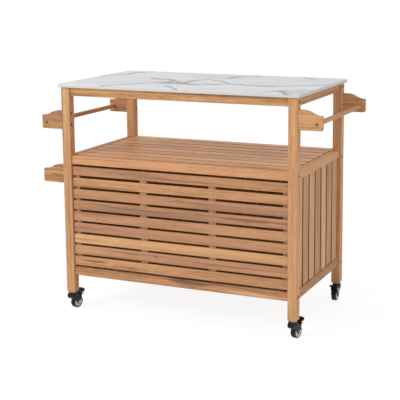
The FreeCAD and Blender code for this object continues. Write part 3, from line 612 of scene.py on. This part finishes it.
def marble(shade):
    """Each vein is a line given by points on the slab, as y for x or as x for y. A point of the slab is as dark as
    it is near to the line, with the line shaken by two noises so that it runs like a crack. Each vein is a thin
    dark core in a wide soft band that comes and goes. A net of hairlines is where a cloud noise passes its middle."""
    x, y, z = shade.axes()
    drift = shade.cloud(11, 4.0, 0.6) - 0.5
    shiver = shade.cloud(60, 3.0) - 0.5
    clouds = shade.cloud(3.2, 4.0, 0.6, 5)
    feather = shade.cloud(24, 3.0, 0.6, 2).step(0.30, 0.66)
    speckle = shade.cloud(500)

    def vein(axis, half_width, points):
        run, side = ((x, y), (y, x))[axis]
        low, high = points[0][0], points[-1][0]
        part = (run + drift * 0.01 - low) / (high - low)
        curve = [((place - low) / (high - low), value + 0.5) for place, value in points]
        line = shade.node("FloatCurve", {"line": curve}, {"Factor": 1.0, "Value": part}) - 0.5
        gap = abs(side + drift * 0.035 + shiver * 0.008 - line)
        ends = part.step(0.0, 0.12) * part.step(1.0, 0.88)
        core = gap.step(half_width * (0.55 + drift * 1.2), 0.0)
        band = gap.step(half_width * 3.2, 0.0)
        return (core * (0.50 + feather * 0.35) + band * (0.24 + feather * 0.44)) * ends

    cover = vein(*VEINS[0])
    for line in VEINS[1:]:
        cover = cover.sum("MAXIMUM", cover, vein(*line))
    net = shade.noise(shade.point(x * 4.5 + drift * 0.7, y * 4.5 + drift * 0.7, z * 4.5), 1.0) - 0.5
    hairline = abs(net).step(0.010, 0.0) * feather
    edge = z.step(*SLAB_TOP_ARRIS)
    colour = clouds.step(0.40, 0.75).mix(SLAB_WHITE, SLAB_CLOUD)
    colour = (hairline * 0.22).mix(colour, HAIRLINE_GREY)
    colour = cover.mix(colour, VEIN_GREY)
    colour = edge.mix(colour, SLAB_EDGE)
    return {
        "Base Color": colour,
        "Roughness": 0.46 + (clouds - 0.5) * 0.10 + (speckle - 0.5) * 0.06 + edge * 0.1,
        "Specular IOR Level": 0.25,
    }


slab_marble = finish_coat("slab_marble", marble)
dress(slab_marble, "tabletop")


# Towel brackets and bars: boards of acacia with an ogee cut on the top edge, bolted to the posts on both sides,
# and a round dowel let into each pair.
BRACKET_ROWS = {X: (-1.0, 1.0), Y: (-0.536, 0.536)}
LEFT_BRACKET_TONE, RIGHT_BRACKET_TONE = (0.38, 0.0), (0.62, 0.0)
BAR_X = 0.561
BAR_RADIUS = 0.009
BAR_EASE = 0.0005
BAR_RINGS = 12
BAR_COLUMNS = 48
bracket_wood = acacia("bracket_acacia", (X, Z, Y), BRACKET_ROWS, 67.0, (X, [LEFT_BRACKET_TONE, RIGHT_BRACKET_TONE]))
dress(bracket_wood, "towel_brackets_left", "towel_brackets_right", "rack_ends")
bar_wood = acacia("bar_acacia", (Y, X, Z), {X: (-2 * BAR_X, 2 * BAR_X)}, 71.0, grey=0.0)
for side in SIDES:
    low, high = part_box("towel_bar_" + side)
    middle = (low + high) / 2
    reach = high.y - low.y
    rings = np.linspace(BAR_EASE, reach - BAR_EASE, BAR_RINGS)
    bar_height = np.array([0.0, 0.0, *rings, reach, reach])
    bar_radius = np.array([0.0, BAR_RADIUS - BAR_EASE, *[BAR_RADIUS] * BAR_RINGS, BAR_RADIUS - BAR_EASE, 0.0])
    dowel = turned(bar_height, bar_radius, [(middle.x, low.y, middle.z)], [(0, 1, 0)], BAR_COLUMNS)
    bar = shell("towel_dowel_" + side, dowel, bar_wood, "frame")
    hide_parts("towel_bar_" + side)


# Side rack: two acacia ends cut to the bracket's outline and fixed to the left posts, with a slatted floor and
# a rail across. The ends have the wood of the brackets.
RACK_ROW = (-0.561, 0.035)
rack_wood = acacia("rack_acacia", (Y, X, Z), {X: RACK_ROW}, 73.0)
dress(rack_wood, "rack_floor", "rack_rail")


# Bolts: domed button heads with a hexagon socket, in dull bronzed steel, on the posts and brackets. Each stands
# for a plain CAD bolt, with the start of its shank.
def dull_bronze(shade):
    """Bronzed steel with a dull bloom."""
    bloom = shade.cloud(300, 3.0)
    return {
        "Base Color": bloom.step(0.3, 0.7).mix(tint(112, 88, 66), tint(156, 124, 96)),
        "Roughness": 0.42 + (bloom - 0.5) * 0.3,
        "Metallic": 0.7,
    }


SHANK_START = -0.02
SHANK_RADIUS = 0.003
HEAD_RADIUS = 0.006
HEAD_RIM = 0.0007
DOME_RISE = 0.0023
DOME_FALL = 0.0034
SOCKET_RADIUS = 0.002
SOCKET_LEVELS = (0.003, 0.0012, 0.0010)
SOCKET_TAPER = 0.98
BOLT_COLUMNS = 48
dome = np.linspace(0, np.pi / 2, 7)[1:]
socket_turn = np.arange(BOLT_COLUMNS) * (2 * np.pi / BOLT_COLUMNS)
hexagon = SOCKET_RADIUS / np.cos(np.mod(socket_turn, np.pi / 3) - np.pi / 6)
bolt_height = np.array([
    SHANK_START, SHANK_START, 0, 0, HEAD_RIM, *(HEAD_RIM + DOME_RISE * np.sin(dome)), *SOCKET_LEVELS,
])
head_radius = np.array([
    0, SHANK_RADIUS, SHANK_RADIUS, HEAD_RADIUS, HEAD_RADIUS, *(HEAD_RADIUS - DOME_FALL * (1 - np.cos(dome))),
])
bolt_radius = np.array([
    *np.multiply.outer(head_radius, np.ones(BOLT_COLUMNS)), hexagon, hexagon * SOCKET_TAPER, hexagon * 0,
])

POST_FACE = 0.490
POST_INNER_FACE = 0.454
BOLT_Y = 0.260
FRONT_BOLT_LEVELS = (0.884, 0.613, 0.162)
BACK_BOLT_LEVELS = (0.884, 0.601, 0.162)
BRACKET_BOLT_Y = 0.268
BRACKET_BOLT_RISES = (0.019, 0.062)
BRACKET_FACE = 0.277
BAR_RISE = 0.024
LEFT_BRACKET_FOOT, RIGHT_BRACKET_FOOT = 0.734, 0.785
frame_seats = [
    (hand * POST_FACE, row * BOLT_Y, z)
    for hand in (-1, 1) for row, levels in ((-1, FRONT_BOLT_LEVELS), (1, BACK_BOLT_LEVELS)) for z in levels
]
feet = ((-1, LEFT_BRACKET_FOOT), (1, RIGHT_BRACKET_FOOT))
post_seats = [
    (hand * POST_INNER_FACE, row * BRACKET_BOLT_Y, foot + rise)
    for hand, foot in feet for row in (-1, 1) for rise in BRACKET_BOLT_RISES
]
bar_seats = [(hand * BAR_X, row * BRACKET_FACE, foot + BAR_RISE) for hand, foot in feet for row in (-1, 1)]
frame_out = [(np.sign(seat[X]), 0, 0) for seat in frame_seats]
bracket_out = [(-np.sign(seat[X]), 0, 0) for seat in post_seats] + [(0, np.sign(seat[Y]), 0) for seat in bar_seats]
bolt_bronze = finish_coat("bolt_bronze", dull_bronze)
bolt_sets = (("frame_bolts", frame_seats, frame_out), ("bracket_bolts", post_seats + bar_seats, bracket_out))
for node, seats, out in bolt_sets:
    heads = turned(bolt_height, bolt_radius, seats, out, BOLT_COLUMNS)
    bolts = shell("button_" + node, heads, bolt_bronze, "frame")
    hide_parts(node)


# Casters: four swivel casters with a black hooded fork, a zinc stem and axle, a nylon brake pedal with grip
# ridges, and a wheel with a black tyre on a ribbed light core.
def black_enamel(shade):
    """Glossy black paint with a fine orange peel and a little dust."""
    dust = shade.cloud(60, 3.0)
    return {
        "Base Color": dust.step(0.45, 0.8).mix(tint(10, 10, 13), tint(26, 27, 31)),
        "Roughness": 0.16 + dust.step(0.4, 0.8) * 0.16,
        "Normal": shade.bump(0.12, 0.0002, shade.cloud(700, 1.0)),
        "Specular IOR Level": 0.25,
    }


def black_nylon(shade):
    """Moulded black nylon with a pebbled skin, worn a little grey."""
    wear = shade.cloud(80, 3.0)
    return {
        "Base Color": wear.step(0.4, 0.8).mix(tint(14, 14, 17), tint(34, 35, 39)),
        "Roughness": 0.36 + (wear - 0.5) * 0.2,
        "Normal": shade.bump(0.3, 0.0002, shade.cloud(1500, 1.0)),
        "Specular IOR Level": 0.25,
    }


def tyre_rubber(shade):
    """Black rubber with grey scuffs."""
    scuff = shade.cloud(180, 4.0)
    return {
        "Base Color": scuff.step(0.4, 0.75).mix(tint(18, 18, 20), tint(40, 41, 44)),
        "Roughness": 0.36 + (scuff - 0.5) * 0.2,
        "Normal": shade.bump(0.3, 0.0003, scuff),
        "Specular IOR Level": 0.25,
    }


def core_nylon(shade):
    """Cream nylon with faint flow marks."""
    flow = shade.cloud(120, 3.0)
    return {
        "Base Color": flow.step(0.35, 0.75).mix(tint(240, 237, 228), tint(222, 217, 205)),
        "Roughness": 0.42 + (flow - 0.5) * 0.15,
    }


fork_black = finish_coat("fork_black_enamel", black_enamel)
pedal_black = finish_coat("pedal_black_nylon", black_nylon)
tyre_black = finish_coat("tyre_rubber", tyre_rubber)
core_light = finish_coat("core_nylon", core_nylon)
dress(hinge_steel, "caster_stems")

# the tyre: a round shoulder and two fine grooves in the tread, one half and its mirror image
WHEEL_RADIUS = 0.025
WHEEL_COLUMNS = 96
TYRE_HALF_WIDTH = 0.010
TYRE_SEAT = 0.020
SHOULDER = 0.0024
GROOVE_SIDES = (0.0045, 0.0042, 0.0032, 0.0029)
GROOVE_RADII = (0.025, 0.0244, 0.0244, 0.025)
shoulder_turn = np.linspace(0, np.pi / 2, 6)
half_height = [TYRE_HALF_WIDTH, *(TYRE_HALF_WIDTH - SHOULDER + SHOULDER * np.cos(shoulder_turn)), *GROOVE_SIDES]
half_radius = [TYRE_SEAT, *(WHEEL_RADIUS - SHOULDER + SHOULDER * np.sin(shoulder_turn)), *GROOVE_RADII]
tyre_height = np.concatenate([half_height, np.negative(half_height[::-1]), half_height[:1]])
tyre_radius = np.concatenate([half_radius, half_radius[::-1], half_radius[:1]])

# the core: bore, hub and rim with a web between, and six ribs that stand on the web
CORE_RIBS = 6
RIB_RISE = 0.0038
RIB_STEEPNESS = 3.2
RIB_FOOT = 2.0
CORE_RADII = (0.00305, 0.0075, 0.008, 0.0082, 0.0125, 0.0166, 0.0172, 0.0176, 0.020)
CORE_HALF_WIDTHS = (0.0103, 0.0103, 0.0098, 0.004, 0.004, 0.004, 0.0085, 0.009, 0.009)
ON_WEB = (0, 0, 0, 1, 1, 1, 0, 0, 0)
core_turn = np.arange(WHEEL_COLUMNS) * (2 * np.pi / WHEEL_COLUMNS)
rib = np.clip(RIB_STEEPNESS * np.cos(CORE_RIBS * core_turn) - RIB_FOOT, 0, 1) * RIB_RISE
core_half = np.array(CORE_HALF_WIDTHS)[:, None] + np.multiply.outer(ON_WEB, rib)
core_height = np.concatenate([core_half, -core_half[::-1], core_half[:1]])
core_radius = np.concatenate([CORE_RADII, CORE_RADII[::-1], CORE_RADII[:1]])

# the axle's riveted caps, and the grip ridges on the pedal's sloping top
CAP_PLACE = 0.0158
CAP_COLUMNS = 24
cap_height = (-0.0004, 0.0, 0.0005, 0.0009, 0.0011, 0.0011)
cap_radius = (0.0056, 0.0058, 0.0054, 0.0043, 0.0025, 0.0)
PEDAL_PIVOT_AHEAD = 0.03342
PEDAL_PIVOT_HEIGHT = 0.05515
PEDAL_SLOPE = np.radians(34.0)
PEDAL_TOP = 0.0045
RIDGE_LENGTH = 0.020
RIDGE_COLUMNS = 10
ridge_places = np.array([0.011, 0.0145, 0.018, 0.0215])
ridge_height = (0.0, 0.0, 0.0004, RIDGE_LENGTH - 0.0004, RIDGE_LENGTH, RIDGE_LENGTH)
ridge_radius = (0.0, 0.0005, 0.0008, 0.0008, 0.0005, 0.0)
ridge_ahead = PEDAL_PIVOT_AHEAD + ridge_places * np.cos(PEDAL_SLOPE) - PEDAL_TOP * np.sin(PEDAL_SLOPE)
ridge_level = PEDAL_PIVOT_HEIGHT + ridge_places * np.sin(PEDAL_SLOPE) + PEDAL_TOP * np.cos(PEDAL_SLOPE)

TRAIL = 0.020
HEADINGS = {"front_left": 78.0, "front_right": 78.0, "back_left": -95.0, "back_right": -88.0}
upward = np.array((0.0, 0.0, 1.0))
for corner in corners:
    heading = np.radians(HEADINGS[corner])
    ahead = np.array((np.cos(heading), np.sin(heading), 0.0))
    sideways = np.array((-np.sin(heading), np.cos(heading), 0.0))
    foot = np.array((POST_X if "right" in corner else -POST_X, POST_Y if "back" in corner else -POST_Y, 0.0))
    hub = foot + ahead * TRAIL + upward * WHEEL_RADIUS
    dress(fork_black, "caster_fork_" + corner)
    dress(pedal_black, "caster_pedal_" + corner)
    tyre = shell("tyre_" + corner, turned(tyre_height, tyre_radius, [hub], [sideways], WHEEL_COLUMNS), tyre_black,
                 "wheel_" + corner)
    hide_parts("caster_wheel_" + corner)
    shell("wheel_core_" + corner, turned(core_height, core_radius, [hub], [sideways], WHEEL_COLUMNS), core_light,
          "wheel_" + corner)
    cap_out = [sideways, -sideways]
    cap_seats = [hub + out * CAP_PLACE for out in cap_out]
    shell("axle_caps_" + corner, turned(cap_height, cap_radius, cap_seats, cap_out, CAP_COLUMNS), hinge_steel,
          "caster_" + corner)
    ridge_start = foot - sideways * (RIDGE_LENGTH / 2)
    ridge_seats = ridge_start + np.multiply.outer(ridge_ahead, ahead) + np.multiply.outer(ridge_level, upward)
    ridges = turned(ridge_height, ridge_radius, ridge_seats, [sideways] * len(ridge_seats), RIDGE_COLUMNS)
    shell("pedal_ridges_" + corner, ridges, pedal_black, "pedal_" + corner)


# Floor, backdrop and light: a plain white studio floor that glows a little to the camera and still takes the
# shadow, a white surround, and soft light from the front left and the right.
STUDIO_REACH = 30
STUDIO_GLOW = 0.88
SURROUND = 0.62
SURROUND_SEEN = 1.0
CART_MIDDLE = Vector((0, 0, 0.5))


def in_view(shade):
    """1 where the camera looks, also by way of a mirror or glass, and 0 where light falls on the cart."""
    straight = shade.node("LightPath", out="Is Camera Ray")
    mirrored = straight.sum("MAXIMUM", straight.other("Is Glossy Ray"), straight.other("Is Transmission Ray"))
    return straight.sum("MAXIMUM", straight, mirrored)


def pale_floor(shade):
    """A pale floor to the light. In view it is a darker one with a glow on top."""
    plain_floor = shade.node("BsdfDiffuse", {}, {"Color": (0.8, 0.8, 0.8, 1)})
    soft = shade.node("BsdfDiffuse", {}, {"Color": (0.2, 0.2, 0.2, 1)})
    glow = shade.node("Emission", {}, {"Color": (1, 1, 1, 1), "Strength": STUDIO_GLOW})
    lit = shade.node("AddShader", {}, {0: soft, 1: glow})
    return shade.node("MixShader", {}, {0: in_view(shade), 1: plain_floor, 2: lit})


floor_corners = [(x * STUDIO_REACH, y * STUDIO_REACH, 0) for x, y in ((-1, -1), (1, -1), (1, 1), (-1, 1))]
floor_mesh = bpy.data.meshes.new("studio_floor")
floor_mesh.from_pydata(floor_corners, [], [(0, 1, 2, 3)])
floor_mesh.materials.append(new_material("pale_floor", pale_floor))
floor = bpy.data.objects.new("studio_floor", floor_mesh)
bpy.context.scene.collection.objects.link(floor)

world = bpy.data.worlds.new("studio")
bpy.context.scene.world = world
world.use_nodes = True
world.node_tree.nodes.clear()
sky = Shade(world.node_tree)
strength = SURROUND + in_view(sky) * (SURROUND_SEEN - SURROUND)
backdrop = sky.node("Background", {}, {"Color": (1, 1, 1, 1), "Strength": strength})
sky.node("OutputWorld", {}, {"Surface": backdrop})


def softbox(name, place, size, power):
    """A round softbox at a place, turned to the middle of the cart. It lights the cart, and is left out of mirror
    images so that the slab has no glare."""
    lamp = bpy.data.lights.new(name, "AREA")
    lamp.shape = "DISK"
    lamp.size = size
    lamp.energy = power
    lamp_object = bpy.data.objects.new(name, lamp)
    away = Vector(place) - CART_MIDDLE
    lamp_object.matrix_world = Matrix.Translation(place) @ away.to_track_quat("Z", "Y").to_matrix().to_4x4()
    lamp_object.visible_glossy = False
    bpy.context.scene.collection.objects.link(lamp_object)


softbox("key_softbox", place=(-2.2, -3.6, 2.8), size=1.8, power=88)
softbox("side_softbox", place=(3.6, -1.2, 1.6), size=2.0, power=12)


# Camera: at the photograph's angle, a little above the tabletop and to the right, with a slight shift so that
# the uprights lean less.
CAMERA_PLACE = (1.7371, -3.7799, 1.3558)
CAMERA_TURN = (
    (0.918627, -0.05923, 0.390661),
    (0.395096, 0.149676, -0.906364),
    (-0.004789, 0.986959, 0.160898),
)
camera_data = bpy.data.cameras.new("photo_camera")
camera_data.sensor_width = 36.0
camera_data.lens = 94.869
camera_data.shift_x = -0.075
camera_data.shift_y = -0.15
camera = bpy.data.objects.new("photo_camera", camera_data)
camera.matrix_world = Matrix.Translation(CAMERA_PLACE) @ Matrix(CAMERA_TURN).to_4x4()
bpy.context.scene.collection.objects.link(camera)
bpy.context.scene.camera = camera
bpy.context.scene.view_settings.view_transform = "Standard"
